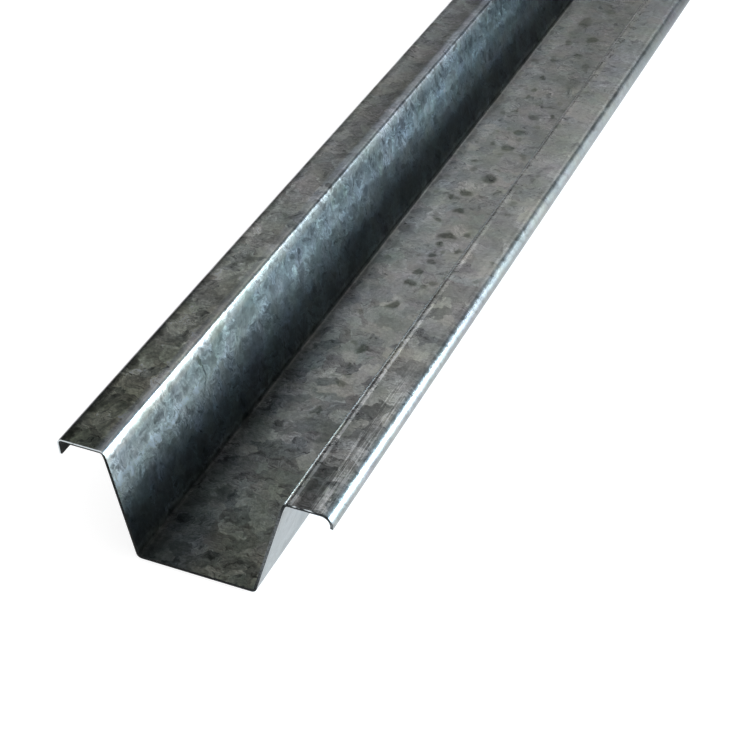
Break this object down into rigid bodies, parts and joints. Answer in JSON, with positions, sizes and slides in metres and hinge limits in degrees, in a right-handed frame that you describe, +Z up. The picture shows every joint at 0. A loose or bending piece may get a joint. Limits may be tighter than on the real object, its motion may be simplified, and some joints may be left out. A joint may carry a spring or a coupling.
{
  "type": "hat furring channel",
  "caption": "Open hat-shaped channel of folded galvanised sheet: flat web, two legs flaring outwards, two wings with down-turned lips.",
  "frame": {"origin": "on the floor under the middle of the length, centred across the lips", "axes": "+Y along the length, +X across the width from the sharp lip to the rounded lip, +Z up from the web to the wings"},
  "size_m": [0.095, 2.4, 0.04],
  "materials": {
    "galvanised_sheet": "hot-dip zinc coating with dull spangle, dark stains and roll marks"
  },
  "bodies": {
    "root": {"hat_channel": "galvanised_sheet"}
  },
  "joints": []
}
